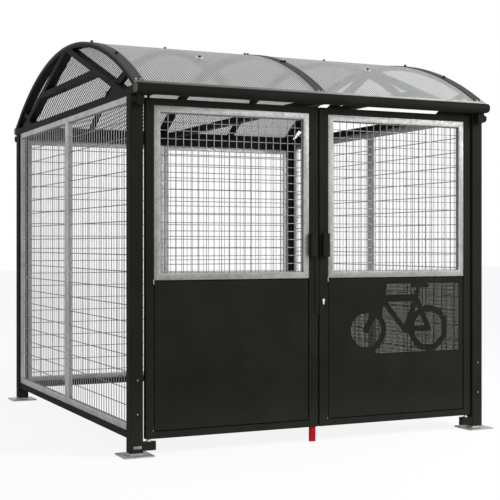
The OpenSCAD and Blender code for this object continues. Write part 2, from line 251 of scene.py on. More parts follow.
sky.links.new(ambient.outputs[0], pick.inputs[1])
sky.links.new(backdrop.outputs[0], pick.inputs[2])
sky.links.new(pick.outputs[0], out.inputs["Surface"])
print("world:", world.name, "with", len(sky.nodes), "nodes")

# %% [markdown]
# The key lamp stands to the right of the doors and above them, and is broad, so that its shadows
# are soft. A weaker one on the left lifts the walls there.

# %% Lamps
def lamp(name, place, aim, size, power):
    data = bpy.data.lights.new(name, "AREA")
    data.shape = "DISK"
    data.size = size
    data.energy = power
    obj = bpy.data.objects.new(name, data)
    obj.location = place
    obj.rotation_euler = (Vector(aim) - Vector(place)).to_track_quat("-Z", "Y").to_euler()
    bpy.context.collection.objects.link(obj)
    print(name, "lamp,", power, "W")


lamp("Key", place=(4.8, -5.0, 4.2), aim=(0, -1.0, 1.2), size=4.0, power=440)
lamp("Fill", place=(-7.0, -4.0, 6.0), aim=(0, 0, 1.2), size=6.0, power=90)

# %% [markdown]
# The floor is a pale sheet far wider than the shelter. Seen directly it is mostly white, with a
# share of its matt face left in, which keeps the shelter's soft shadow.

# %% Floor
select_none()
bpy.ops.mesh.primitive_plane_add(size=90, location=(0, 0, 0))
floor = bpy.context.object
floor.name = "Floor"
settle(floor)
floor_finish = bpy.data.materials.new("Floor")
floor_finish.use_nodes = True
floor.data.materials.append(floor_finish)
tree = floor_finish.node_tree
tree.nodes.clear()
white_share = 0.86
matt = node(tree, "ShaderNodeBsdfDiffuse", {"Color": (0.9, 0.9, 0.9, 1)})
glow = node(tree, "ShaderNodeEmission", {"Color": (1, 1, 1, 1), "Strength": 1.0})
share = node(tree, "ShaderNodeMath", {1: white_share}, operation="MULTIPLY")
eye = node(tree, "ShaderNodeLightPath")
blend = node(tree, "ShaderNodeMixShader")
surface = node(tree, "ShaderNodeOutputMaterial")
tree.links.new(eye.outputs["Is Camera Ray"], share.inputs[0])
tree.links.new(share.outputs[0], blend.inputs["Fac"])
tree.links.new(matt.outputs[0], blend.inputs[1])
tree.links.new(glow.outputs[0], blend.inputs[2])
tree.links.new(blend.outputs[0], surface.inputs["Surface"])
print("stage is set")

# %% [markdown]
# ## Shared effects
# Three effects serve more than one finish, so each is a node group: a cloudy mask that breaks up a
# flat colour, a dust mask that is strongest near the floor, and a fine bump. They read Object
# coordinates, which are real metres here, so their scales are real too.

# %% A new group
def new_group(name, inputs, outputs):
    group = bpy.data.node_groups.new(name, "ShaderNodeTree")
    for socket, value in inputs.items():
        made = group.interface.new_socket(socket, in_out="INPUT", socket_type="NodeSocketFloat")
        made.default_value = value
    for socket, kind in outputs.items():
        group.interface.new_socket(socket, in_out="OUTPUT", socket_type=kind)
    return group, node(group, "NodeGroupInput"), node(group, "NodeGroupOutput")


# %% Cloudy mask
clouds, clouds_in, clouds_out = new_group("Cloudy mask",
                                          {"Scale": 4.0, "Low": 0.35, "High": 0.65},
                                          {"Mask": "NodeSocketFloat"})
where = node(clouds, "ShaderNodeTexCoord")
noise = node(clouds, "ShaderNodeTexNoise", {"Detail": 5.0, "Roughness": 0.6})
spread = node(clouds, "ShaderNodeMapRange", interpolation_type="SMOOTHSTEP")
clouds.links.new(where.outputs["Object"], noise.inputs["Vector"])
clouds.links.new(clouds_in.outputs["Scale"], noise.inputs["Scale"])
clouds.links.new(noise.outputs["Fac"], spread.inputs["Value"])
clouds.links.new(clouds_in.outputs["Low"], spread.inputs["From Min"])
clouds.links.new(clouds_in.outputs["High"], spread.inputs["From Max"])
clouds.links.new(spread.outputs["Result"], clouds_out.inputs["Mask"])

# %% Dust mask
dust, dust_in, dust_out = new_group("Floor dust", {"Height": 0.35, "Amount": 0.5},
                                    {"Mask": "NodeSocketFloat"})
where = node(dust, "ShaderNodeTexCoord")
axes = node(dust, "ShaderNodeSeparateXYZ")
fade = node(dust, "ShaderNodeMapRange", {"From Min": 0.0, "To Min": 1.0, "To Max": 0.0},
            interpolation_type="SMOOTHERSTEP")
speck = node(dust, "ShaderNodeTexNoise", {"Scale": 38.0, "Detail": 6.0, "Roughness": 0.7})
specked = node(dust, "ShaderNodeMath", operation="MULTIPLY")
weighed = node(dust, "ShaderNodeMath", operation="MULTIPLY")
dust.links.new(where.outputs["Object"], axes.inputs[0])
dust.links.new(where.outputs["Object"], speck.inputs["Vector"])
dust.links.new(axes.outputs["Z"], fade.inputs["Value"])
dust.links.new(dust_in.outputs["Height"], fade.inputs["From Max"])
dust.links.new(fade.outputs["Result"], specked.inputs[0])
dust.links.new(speck.outputs["Fac"], specked.inputs[1])
dust.links.new(specked.outputs[0], weighed.inputs[0])
dust.links.new(dust_in.outputs["Amount"], weighed.inputs[1])
dust.links.new(weighed.outputs[0], dust_out.inputs["Mask"])

# %% Fine bump
bump, bump_in, bump_out = new_group("Fine bump",
                                    {"Scale": 900.0, "Strength": 0.2, "Distance": 0.0005},
                                    {"Normal": "NodeSocketVector"})
where = node(bump, "ShaderNodeTexCoord")
noise = node(bump, "ShaderNodeTexNoise", {"Detail": 3.0, "Roughness": 0.55})
lift = node(bump, "ShaderNodeBump")
bump.links.new(where.outputs["Object"], noise.inputs["Vector"])
bump.links.new(bump_in.outputs["Scale"], noise.inputs["Scale"])
bump.links.new(noise.outputs["Fac"], lift.inputs["Height"])
bump.links.new(bump_in.outputs["Strength"], lift.inputs["Strength"])
bump.links.new(bump_in.outputs["Distance"], lift.inputs["Distance"])
bump.links.new(lift.outputs["Normal"], bump_out.inputs["Normal"])
print("groups:", [g.name for g in bpy.data.node_groups])

# %% [markdown]
# Each finish starts as one Principled shader. Three more helpers place a group in a finish, mix two
# colours by a mask and spread a mask over a range of values, such as a roughness.

# %% Helpers for finishes
def use_group(tree, group, **values):
    made = node(tree, "ShaderNodeGroup", node_tree=group)
    for key, value in values.items():
        made.inputs[key].default_value = value
    return made


def new_finish(name, metallic, roughness):
    finish = bpy.data.materials.new(name)
    finish.use_nodes = True
    tree = finish.node_tree
    tree.nodes.clear()
    shader = node(tree, "ShaderNodeBsdfPrincipled", {"Metallic": metallic, "Roughness": roughness})
    surface = node(tree, "ShaderNodeOutputMaterial")
    tree.links.new(shader.outputs[0], surface.inputs["Surface"])
    return finish, tree, shader


def mix_colours(tree, mask, first, second):
    """A colour mix whose ends are colours or other nodes' outputs."""
    mixer = node(tree, "ShaderNodeMix", data_type="RGBA")
    tree.links.new(mask, mixer.inputs["Factor"])
    for socket, end in (("A", first), ("B", second)):
        target = [s for s in mixer.inputs if s.name == socket and s.type == "RGBA"][0]
        if isinstance(end, tuple):
            target.default_value = end
        else:
            tree.links.new(end, target)
    return [s for s in mixer.outputs if s.type == "RGBA"][0]


def ranged(tree, value, low, high):
    spread = node(tree, "ShaderNodeMapRange", {"To Min": low, "To Max": high})
    tree.links.new(value, spread.inputs["Value"])
    return spread.outputs["Result"]


# %% [markdown]
# ## Powder coat
# Posts, doors, trusses and eave beams are black steel with a baked powder coat: nearly black with a
# warm cast, matt, with a very fine orange-peel grain and a little dust low down. A flat black would
# look like a hole, so the colour and the roughness drift a little with the cloudy mask. The strips
# over the roof get a lighter grey coat, which is painted light: it stands in for the light that
# falls on their tops.

# %% Black and red coat
powder_shine = 0.012


def powder_coat(name, dark, pale, dust_colour, low_rough, high_rough, dust_amount=0.35):
    finish, tree, shader = new_finish(name, 0.0, low_rough)
    cloud = use_group(tree, clouds, Scale=3.0, Low=0.3, High=0.7)
    grime = use_group(tree, dust, Height=0.4, Amount=dust_amount)
    grain = use_group(tree, bump, Scale=1400.0, Strength=0.25, Distance=0.0003)
    base = mix_colours(tree, cloud.outputs["Mask"], dark, pale)
    dusty = mix_colours(tree, grime.outputs["Mask"], base, dust_colour)
    tree.links.new(dusty, shader.inputs["Base Color"])
    tree.links.new(ranged(tree, cloud.outputs["Mask"], low_rough, high_rough),
                   shader.inputs["Roughness"])
    tree.links.new(grain.outputs["Normal"], shader.inputs["Normal"])
    shader.inputs["Specular IOR Level"].default_value = powder_shine
    return finish


black_coat = powder_coat("Black powder coat", (0.0125, 0.0128, 0.0102, 1),
                         (0.0165, 0.0168, 0.0136, 1), (0.05, 0.047, 0.042, 1), 0.46, 0.56)
# The cover strips' coat is a lighter grey than the black coat: painted light for the light on their
# tops.
strip_coat_painted_light = powder_coat("Black strip with painted top light", (0.050, 0.051, 0.047, 1),
                         (0.068, 0.069, 0.064, 1), (0.1, 0.097, 0.09, 1), 0.4, 0.5)
red_coat = powder_coat("Red coat", (0.34, 0.004, 0.010, 1), (0.45, 0.006, 0.014, 1),
                       (0.3, 0.1, 0.09, 1), 0.34, 0.42, dust_amount=0.1)
print("coats:", black_coat.name, strip_coat_painted_light.name, red_coat.name)

# %% [markdown]
# ## Galvanised steel
# Panel frames, wires and feet were dipped in zinc. The zinc sets in flat crystals, which show as a
# quiet patchwork of greys. A Voronoi texture gives each crystal one shade and one roughness. The
# darker copies paint shade: the door windows and the walls' level wires, which sit behind the
# upright wires, are painted darker than the walls' frames. Rivets, clips and the bare plate take
# the darker zinc as their own duller tone.

# %% Zinc
def zinc_coat(name, dark, pale, crystal, low_rough, high_rough, metal=0.92):
    finish, tree, shader = new_finish(name, metal, low_rough)
    where = node(tree, "ShaderNodeTexCoord")
    cells = node(tree, "ShaderNodeTexVoronoi", {"Scale": crystal, "Randomness": 1.0})
    shade = node(tree, "ShaderNodeSeparateColor")
    tree.links.new(where.outputs["Object"], cells.inputs["Vector"])
    tree.links.new(cells.outputs["Color"], shade.inputs["Color"])
    cloud = use_group(tree, clouds, Scale=7.0, Low=0.25, High=0.75)
    half_cloud = node(tree, "ShaderNodeMath", {1: 0.5}, operation="MULTIPLY")
    average = node(tree, "ShaderNodeMath", {1: 0.5}, operation="MULTIPLY_ADD")
    tree.links.new(cloud.outputs["Mask"], half_cloud.inputs[0])
    tree.links.new(shade.outputs["Red"], average.inputs[0])
    tree.links.new(half_cloud.outputs[0], average.inputs[2])
    base = mix_colours(tree, average.outputs[0], dark, pale)
    grime = use_group(tree, dust, Height=0.2, Amount=0.15)
    tree.links.new(mix_colours(tree, grime.outputs["Mask"], base, (0.4, 0.385, 0.36, 1)),
                   shader.inputs["Base Color"])
    tree.links.new(ranged(tree, shade.outputs["Green"], low_rough, high_rough),
                   shader.inputs["Roughness"])
    grain = use_group(tree, bump, Scale=260.0, Strength=0.15, Distance=0.0004)
    tree.links.new(grain.outputs["Normal"], shader.inputs["Normal"])
    return finish


zinc = zinc_coat("Galvanised steel", (0.31, 0.315, 0.31, 1), (0.53, 0.535, 0.525, 1),
                 85.0, 0.46, 0.62)
# Darker zinc: painted shade on the door windows, and the plain duller tone of the small fittings.
dull_and_shaded_zinc = zinc_coat("Dull and shaded galvanised steel", (0.20, 0.207, 0.20, 1), (0.33, 0.337, 0.325, 1),
                      85.0, 0.50, 0.66)
zinc_wire = zinc_coat("Galvanised wire", (0.24, 0.245, 0.24, 1), (0.40, 0.405, 0.40, 1),
                      120.0, 0.42, 0.55)
# Darker wire: painted shade on the window wires and on the walls' level wires.
shaded_zinc_wire = zinc_coat("Shaded galvanised wire", (0.18, 0.185, 0.18, 1), (0.30, 0.305, 0.30, 1),
                      120.0, 0.46, 0.6)
bright_steel = zinc_coat("Bright steel", (0.62, 0.62, 0.6, 1), (0.78, 0.78, 0.76, 1),
                         200.0, 0.25, 0.34, metal=0.9)
print("zincs:", zinc.name, dull_and_shaded_zinc.name, zinc_wire.name, shaded_zinc_wire.name, bright_steel.name)

# %% [markdown]
# ## Where the roof lies
# The roof is part of a cylinder along X. Its radius follows from the sheet's own box: the height of
# its crown over its lower edge and half its span give the circle.

# %% The roof's circle
sheet_thickness = 0.010
strip_thickness = 0.004
low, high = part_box("roof_left")
crown_rise = high.z - sheet_thickness - low.z
roof_radius = (high.y ** 2 + crown_rise ** 2) / (2 * crown_rise)
roof_middle_z = high.z - sheet_thickness - roof_radius
print("roof radius", round(roof_radius, 4), "about z", round(roof_middle_z, 4))

# %% [markdown]
# ## Clear roof sheet
# The roof is twin-wall plastic: two thin skins with a rib between them every 16.5 mm, which runs
# over the roof from eave to eave. The ribs show as fine darker lines. Both skins belong to one
# solid, so the distance from the roof's axis tells them apart: the inner skin is nearly clear, and
# the outer one carries the ribs. From above it looks milky, from below the sky shows through it,
# but less so at a slant, where the ribs hide the clear gaps.

# %% Ribs of the twin-wall plastic
rib_pitch = 0.0165
roof_plastic, tree, shader = new_finish("Twin-wall plastic", 0.0, 0.38)
shader.inputs["Specular IOR Level"].default_value = 0.3
where = node(tree, "ShaderNodeTexCoord")
axes = node(tree, "ShaderNodeSeparateXYZ")
turns = node(tree, "ShaderNodeMath", {1: 2 * math.pi / rib_pitch}, operation="MULTIPLY")
swing = node(tree, "ShaderNodeMath", operation="SINE")
rib = node(tree, "ShaderNodeMapRange", {"From Min": -0.3, "From Max": 0.3},
           interpolation_type="SMOOTHSTEP")
cloud = use_group(tree, clouds, Scale=1.6, Low=0.25, High=0.75)
tree.links.new(where.outputs["Object"], axes.inputs[0])
tree.links.new(axes.outputs["X"], turns.inputs[0])
tree.links.new(turns.outputs[0], swing.inputs[0])

# %% Ribs look wider from below and at a slant
skin_side = node(tree, "ShaderNodeNewGeometry")
slant = node(tree, "ShaderNodeLayerWeight", {"Blend": 0.5})
below = node(tree, "ShaderNodeMath", operation="MULTIPLY")
widen = node(tree, "ShaderNodeMath", operation="MULTIPLY_ADD")
tree.links.new(skin_side.outputs["Backfacing"], below.inputs[0])
tree.links.new(slant.outputs["Facing"], below.inputs[1])
tree.links.new(below.outputs[0], widen.inputs[0])
tree.links.new(slant.outputs["Facing"], widen.inputs[1])
tree.links.new(swing.outputs[0], widen.inputs[2])
tree.links.new(widen.outputs[0], rib.inputs["Value"])

# %% Outer and inner skin
across = node(tree, "ShaderNodeVectorMath", {1: (0, 1, 1)}, operation="MULTIPLY")
from_axis = node(tree, "ShaderNodeVectorMath", {1: (0, 0, roof_middle_z)}, operation="DISTANCE")
outer = node(tree, "ShaderNodeMath", {1: roof_radius + sheet_thickness / 2},
             operation="GREATER_THAN")
tree.links.new(where.outputs["Object"], across.inputs[0])
tree.links.new(across.outputs[0], from_axis.inputs[0])
tree.links.new(from_axis.outputs["Value"], outer.inputs[0])

# %% How much each skin hides
hides_from_above, hides_from_below = 0.6, 0.3
rib_hides = 0.95
inner_skin_hides = 0.1
between_ribs = ranged(tree, skin_side.outputs["Backfacing"], hides_from_above, hides_from_below)
outer_skin = node(tree, "ShaderNodeMix", {"B": rib_hides}, data_type="FLOAT")
both_skins = node(tree, "ShaderNodeMix", {"A": inner_skin_hides}, data_type="FLOAT")
tree.links.new(rib.outputs["Result"], outer_skin.inputs["Factor"])
tree.links.new(between_ribs, outer_skin.inputs["A"])
tree.links.new(outer.outputs[0], both_skins.inputs["Factor"])
tree.links.new(outer_skin.outputs["Result"], both_skins.inputs["B"])
tree.links.new(both_skins.outputs["Result"], shader.inputs["Alpha"])

# %% Colour and ripple of the sheet
milky_dark = (0.65, 0.66, 0.66, 1)
milky_pale = (0.73, 0.74, 0.74, 1)
rib_grey = (0.06, 0.063, 0.063, 1)
plain = mix_colours(tree, cloud.outputs["Mask"], milky_dark, milky_pale)
tree.links.new(mix_colours(tree, rib.outputs["Result"], plain, rib_grey),
               shader.inputs["Base Color"])
ripple = node(tree, "ShaderNodeBump", {"Strength": 0.3, "Distance": 0.0006})
tree.links.new(swing.outputs[0], ripple.inputs["Height"])
tree.links.new(ripple.outputs["Normal"], shader.inputs["Normal"])
print("finishes:", [m.name for m in bpy.data.materials])

# %% [markdown]
# ## Finishes on the ready-made parts
# The model's own parts keep their shapes. Each material slot of the record gets one finish, except
# that the roof's cover strips get the lighter coat with its painted light.

# %% Dress the model's parts
finish_of_slot = {
    "black_coat": black_coat,
    "galvanised": zinc,
    "roof_sheet": roof_plastic,
    "red_coat": red_coat,
    "lock_metal": bright_steel,
}
slot_of_node = {entry["node"]: entry["material_slot"] for entry in frame["record"]["subparts"]}
for name, obj in nodes.items():
    # The cover strips take the lighter coat, which paints the light falling on their tops.
    finish = strip_coat_painted_light if name.startswith("cover_") else finish_of_slot[slot_of_node[name]]
    for place in obj.material_slots:
        place.material = finish
body_of_node = {n: body for body, members in frame["record"]["behaviour"]["bodies"].items()
                for n in members}
print("dressed", len(slot_of_node), "parts")


# %% [markdown]
# A new piece gets two things: its finish and the body that it moves with, which is the body of the
# ready-made part it sits on. A piece that was joined from painted pieces keeps their finishes.

# %% Helpers for finished pieces
def paint(obj, finish):
    obj.data.materials.clear()
    obj.data.materials.append(finish)
    return obj


def finish_piece(obj, finish, like):
    """Gives a made piece its finish and makes it move with the body of a named part."""
    if finish:
        paint(obj, finish)
    select_only(obj)
    bpy.ops.object.shade_smooth_by_angle(angle=math.radians(35))
    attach(obj, body_of_node[like])
    return obj


# %% [markdown]
# ## Mesh panels
# A wall panel is a welded frame of flat tube with a wire mesh set in it: upright wires on the
# outside and heavier level wires behind them. The frame starts as one flat face. It is inset by a
# tube's width, opened, and drawn out to the tube's depth. An inset keeps all four bars equally wide,
# which scaling wouldn't.

# %% Panel frame
frame_tube = 0.040
tube_round = 0.003


def panel_frame(name, width, height, depth):
    """A flat frame in the XZ plane, about the origin, drawn out along Y."""
    select_none()
    bpy.ops.mesh.primitive_plane_add(size=1, rotation=(math.radians(90), 0, 0))
    obj = bpy.context.object
    obj.name = name
    obj.scale = (width, height, 1)
    settle(obj)
    in_edit_mode(obj)
    bpy.ops.mesh.select_mode(type="FACE")
    bpy.ops.mesh.inset(thickness=frame_tube)
    bpy.ops.mesh.delete(type="FACE")
    bpy.ops.mesh.select_all(action="SELECT")
    bpy.ops.mesh.extrude_region_move(TRANSFORM_OT_translate={"value": (0, depth, 0)})
    bpy.ops.mesh.select_all(action="SELECT")
    bpy.ops.transform.translate(value=(0, -depth / 2, 0))
    outward_normals(obj)
    ease_edges(obj, tube_round)
    return obj


# %% [markdown]
# One wire of each kind is made as a rod and repeated at the mesh's pitch. The wires are round, which
# catches the light as a flat bar can't. They are centred in the frame, and their ends stand in its
# tubes, where they are welded.

# %% Wires
wire_radius = 0.0025
heavy_wire_radius = 0.003
wire_bite = 0.006
side_room = 0.008


def wire_rows(width, height, pitch_x, pitch_z, level_radius):
    """Upright wires in front and level wires behind them, all ending inside the frame's bars."""
    clear_x = width - 2 * frame_tube
    clear_z = height - 2 * frame_tube
    count_x = int((clear_x - side_room) / pitch_x) + 1
    count_z = int((clear_z - side_room) / pitch_z) + 1
    reach_x = clear_x / 2 + wire_bite
    reach_z = clear_z / 2 + wire_bite
    first_x = -(count_x - 1) / 2 * pitch_x
    first_z = -(count_z - 1) / 2 * pitch_z
    upright = rod("upright", (first_x, -wire_radius, -reach_z), (first_x, -wire_radius, reach_z),
                  wire_radius)
    level = rod("level", (-reach_x, level_radius, first_z), (reach_x, level_radius, first_z),
                level_radius)
    repeated(upright, (pitch_x, 0, 0), count_x)
    repeated(level, (0, 0, pitch_z), count_z)
    return [upright, level]


# %% Frame and wires as one panel
def framed_mesh(name, low, high, pitch_x, pitch_z, turned, level_radius, finishes):
    """A framed mesh that fills a part's box. A turned one lies along Y instead of X."""
    size = high - low
    width, depth = (size.y, size.x) if turned else (size.x, size.y)
    pieces = [panel_frame("bars", width, size.z, depth)]
    pieces += wire_rows(width, size.z, pitch_x, pitch_z, level_radius)
    obj = join(name, [paint(piece, finish) for piece, finish in zip(pieces, finishes)])
    outside = -1 if (low + high).x < 0 else 1
    turn = Matrix.Rotation(math.radians(90) * outside if turned else 0, 4, "Z")
    obj.data.transform(Matrix.Translation((low + high) / 2) @ turn)
    return obj


# %% Wall panels
upright_pitch = 0.050
level_pitch = 0.100
for wall in [n for n in nodes if n.startswith("wall_")]:
    low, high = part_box(wall)
    turned = not wall.startswith("wall_rear")
    # The level wires take the darker wire, which paints the shade behind the upright wires.
    panel = framed_mesh(wall.replace("wall", "mesh"), low, high, upright_pitch, level_pitch, turned,
                        heavy_wire_radius, (zinc, zinc_wire, shaded_zinc_wire))
    finish_piece(panel, None, wall)
    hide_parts(wall)
    print(panel.name, len(panel.data.polygons), "faces")

# %% Door windows
window_pitch = 0.050
for window in ("window_left", "window_right"):
    low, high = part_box(window)
    # The windows take the darker zinc and wire, which paint shade on them.
    pane = framed_mesh(window + "_mesh", low, high, window_pitch, window_pitch, False,
                       wire_radius, (dull_and_shaded_zinc, shaded_zinc_wire, shaded_zinc_wire))
    finish_piece(pane, None, window)
    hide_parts(window)
    print(pane.name, len(pane.data.polygons), "faces")

# %% [markdown]
# ## Screws, rivets and washers
# Small fixings turn up on the roof, the posts and the doors. Each kind is modelled once, standing on
# the origin with its head up, and copied to its places. A head starts as a flat disc, the washer;
# its top face is inset and drawn up into the head, and inset again and pushed in for the socket.

# %% One fixing
washer_thickness = 0.0014
washer_sunk = 0.0001
head_taper = 0.8
socket_rim, socket_depth = 0.3, 0.5


def fixing(name, washer, head, height, finish):
    """A washer and a head, from their radii and the head's height."""
    select_none()
    bpy.ops.mesh.primitive_cylinder_add(vertices=12, radius=washer, depth=washer_thickness,
                                        location=(0, 0, washer_thickness / 2 - washer_sunk))
    obj = bpy.context.object
    obj.name = name
    settle(obj)
    in_edit_mode(obj)
    pick_faces(obj, lambda middle, normal: normal.z > 0.9)
    bpy.ops.mesh.inset(thickness=washer - head)
    bpy.ops.mesh.extrude_region_move(TRANSFORM_OT_translate={"value": (0, 0, height)})
    bpy.ops.transform.resize(value=(head_taper, head_taper, 1))
    bpy.ops.mesh.inset(thickness=head * socket_rim)
    bpy.ops.mesh.extrude_region_move(
        TRANSFORM_OT_translate={"value": (0, 0, -height * socket_depth)})
    bpy.ops.object.mode_set(mode="OBJECT")
    return paint(obj, finish)


black_screw = fixing("black screw", 0.0125, 0.0095, 0.011, black_coat)
steel_screw = fixing("steel screw", 0.0065, 0.0045, 0.004, bright_steel)
rivet = fixing("rivet", 0.0055, 0.0042, 0.0016, dull_and_shaded_zinc)
broad_washer = fixing("broad washer", 0.026, 0.016, 0.0025, bright_steel)
print("a fixing has", len(rivet.data.polygons), "faces")


# %% Set fixings out
def facing(place, direction):
    """Stands a piece at a place, with its head towards a direction."""
    turn = Vector(direction).to_track_quat("Z", "Y").to_matrix().to_4x4()
    return Matrix.Translation(Vector(place)) @ turn


def set_out(name, pattern, spots, like):
    """Copies one fixing to many places and joins the copies into one piece."""
    copies = [copy_at(pattern, facing(place, direction)) for place, direction in spots]
    obj = join(name, copies)
    finish_piece(obj, None, like)
    print(name, len(spots), "of them,", len(obj.data.polygons), "faces")
    return obj


# %% [markdown]
# ## Places on the roof
# The same circle gives the place of every screw: an angle up the arch, and a distance outwards.

# %% A place on the roof
def on_roof(x, y, proud):
    """A place on the roof at depth y, a little proud of the sheet's underside, and its direction."""
    angle = math.asin(y / roof_radius)
    out = Vector((0, math.sin(angle), math.cos(angle)))
    return Vector((x, 0, roof_middle_z)) + out * (roof_radius + proud), out


# %% [markdown]
# Screws with broad washers hold each sheet to its rafter. The middle cover strip is held by pairs
# of black screws and the end ones by single screws, and each has two small bright ones at its feet.

# %% Screws and washers on the sheets
def middle_x_of(name):
    low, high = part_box(name)
    return (low.x + high.x) / 2


sheet_rows = (-0.93, -0.31, 0.31, 0.93)
on_washer = 0.002
sheet_screws = [on_roof(middle_x_of(rafter), y, sheet_thickness)
                for rafter in ("rafter_left", "rafter_right") for y in sheet_rows]
set_out("sheet_washers", broad_washer, sheet_screws, "rafter_left")
set_out("sheet_screws", black_screw,
        [(place + out * on_washer, out) for place, out in sheet_screws],
        "rafter_left")

# %% Screws on the cover strips
screw_gap = 0.0004
strip_top = sheet_thickness + strip_thickness + screw_gap
pair_half = 0.011
foot_inset_x, foot_inset_y = 0.017, 0.026
single_rows = ((0,), (-1.0, -0.5, 0.5, 1.0))
paired_rows = ((-pair_half, pair_half), (-0.88, -0.295, 0.295, 0.88))
strip_screws, foot_screws = [], []
for strip, (offsets, rows) in (("cover_left", single_rows), ("cover_middle", paired_rows),
                               ("cover_right", single_rows)):
    low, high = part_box(strip)
    strip_screws += [on_roof(middle_x_of(strip) + offset, y, strip_top)
                     for offset in offsets for y in rows]
    foot_screws += [on_roof(x, y, strip_top)
                    for x in (low.x + foot_inset_x, high.x - foot_inset_x)
                    for y in (low.y + foot_inset_y, high.y - foot_inset_y)]
set_out("strip_screws", black_screw, strip_screws, "cover_middle")
set_out("strip_foot_screws", steel_screw, foot_screws, "cover_middle")

# %% [markdown]
# ## Eaves
# The rear eave is the front one's mirror image, so each of its pieces is a mirrored copy. A mirror
# turns faces inside out, so they are turned right way out again afterwards. Left and right pieces
# come from one loop, with the side's sign.

# %% Mirrored copy, sides and eave finishes
def mirrored_y(obj, name):
    twin = copy_at(obj, Matrix.Scale(-1, 4, (0, 1, 0)))
    twin.name = name
    outward_normals(twin)
    return twin


sides = ((-1, "left"), (1, "right"))
aluminium = zinc_coat("Mill aluminium", (0.12, 0.12, 0.115, 1), (0.18, 0.18, 0.172, 1),
                      14.0, 0.38, 0.5, metal=0.4)
cap_grey = powder_coat("Grey cap plastic", (0.09, 0.09, 0.088, 1), (0.12, 0.12, 0.117, 1),
                       (0.25, 0.24, 0.22, 1), 0.5, 0.6)
print("eave finishes:", aluminium.name, cap_grey.name)

# %% [markdown]
# Along each eave a light aluminium channel closes the open lower end of the ribbed sheets. It is
# one long block whose face towards the sheets is inset and pushed in, as a channel is in section.

# %% Eave channel
channel_width = 0.015
channel_gap = 0.0005
channel_wall = 0.0015
channel_hollow = 0.012
channel_low, channel_high = 0.002, 0.019
roof_low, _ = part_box("roof_left")
beam_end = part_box("truss_right")[1].x
channel = block("eave_channel_front",
                (-beam_end, roof_low.y - channel_gap - channel_width, roof_low.z + channel_low),
                (beam_end, roof_low.y - channel_gap, roof_low.z + channel_high), ease=0.001)
in_edit_mode(channel)
pick_faces(channel, lambda middle, normal: normal.y > 0.9)
bpy.ops.mesh.inset(thickness=channel_wall)
bpy.ops.mesh.extrude_region_move(TRANSFORM_OT_translate={"value": (0, -channel_hollow, 0)})
bpy.ops.object.mode_set(mode="OBJECT")
finish_piece(mirrored_y(channel, "eave_channel_rear"), aluminium, "eave_rear")
finish_piece(channel, aluminium, "eave_front")
print("beam ends at", round(beam_end, 3))

# %% [markdown]
# Oval caps close the beam's ends. A cap is a thin disc whose rear half is moved back, which draws
# the circle out to an oval. Its outer face is inset and pushed in a little, for a raised rim.

# %% End caps
cap_radius = 0.0288
cap_thickness = 0.003
cap_stretch = 0.016
cap_rim, cap_dip = 0.004, 0.0012
cap_inset = 0.0004
beam_above_truss_foot = 0.030
cap_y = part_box("eave_front")[0].y + cap_radius + cap_inset
cap_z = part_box("truss_right")[0].z + beam_above_truss_foot
for side, name in sides:
    select_none()
    bpy.ops.mesh.primitive_cylinder_add(
        vertices=28, radius=cap_radius, depth=cap_thickness,
        location=(side * (beam_end + cap_thickness / 2), cap_y, cap_z),
        rotation=(0, math.radians(90), 0))
    cap = bpy.context.object
    cap.name = "eave_cap_front_" + name
    settle(cap)
    in_edit_mode(cap)
    pick_edges(cap, lambda a, b: min(a.y, b.y) > cap_y + 0.001)
    bpy.ops.transform.translate(value=(0, cap_stretch, 0))
    pick_faces(cap, lambda middle, normal: normal.x * side > 0.9)
    bpy.ops.mesh.inset(thickness=cap_rim)
    bpy.ops.mesh.extrude_region_move(TRANSFORM_OT_translate={"value": (-side * cap_dip, 0, 0)})
    bpy.ops.object.mode_set(mode="OBJECT")
    ease_edges(cap, 0.0006)
    finish_piece(mirrored_y(cap, "eave_cap_rear_" + name), cap_grey, "eave_rear")
    finish_piece(cap, cap_grey, "eave_front")
    print(cap.name, len(cap.data.polygons), "faces")

# %% [markdown]
# The block under each end of the beam is clamped by a round knob from the side. It is a short
# cylinder with a soft edge and a dished face, so that the black knob shows against the black block.

# %% Knobs
knob_radius = 0.0235
knob_depth = 0.024
knob_rim, knob_dish = 0.006, 0.003
knob_gap = 0.0002
block_inset = 0.022
knob_before_post = 0.0275
knob_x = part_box("post_front_right")[1].x - block_inset + knob_depth / 2 + knob_gap
knob_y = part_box("post_front_left")[0].y - knob_before_post
knob_z = 2.0935
for side, name in sides:
    select_none()
    bpy.ops.mesh.primitive_cylinder_add(vertices=24, radius=knob_radius, depth=knob_depth,
                                        location=(side * knob_x, knob_y, knob_z),
                                        rotation=(0, math.radians(90), 0))
    knob = bpy.context.object
    knob.name = "eave_knob_front_" + name
    settle(knob)
    ease_edges(knob, 0.004, 3)
    in_edit_mode(knob)
    pick_faces(knob, lambda middle, normal: normal.x * side > 0.98)
    bpy.ops.mesh.inset(thickness=knob_rim)
    bpy.ops.mesh.extrude_region_move(TRANSFORM_OT_translate={"value": (-side * knob_dish, 0, 0)})
    bpy.ops.object.mode_set(mode="OBJECT")
    finish_piece(mirrored_y(knob, "eave_knob_rear_" + name), black_coat, "eave_rear")
    finish_piece(knob, black_coat, "eave_front")
    print(knob.name, len(knob.data.polygons), "faces")

# %% [markdown]
# ## Posts and feet
# Each front post carries two rivets low on its face, a little to the right of its middle. A small
# bare plate sits near the foot of the left one, between two small rivets of its own.

# %% Post rivets
rivet_heights = (0.447, 0.247)
rivet_offset = 0.004
post_rivets = []
for post in ("post_front_left", "post_front_right"):
    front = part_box(post)[0].y
    post_rivets += [((middle_x_of(post) + rivet_offset, front, z), (0, -1, 0))
                    for z in rivet_heights]
set_out("post_rivets", rivet, post_rivets, "post_front_left")

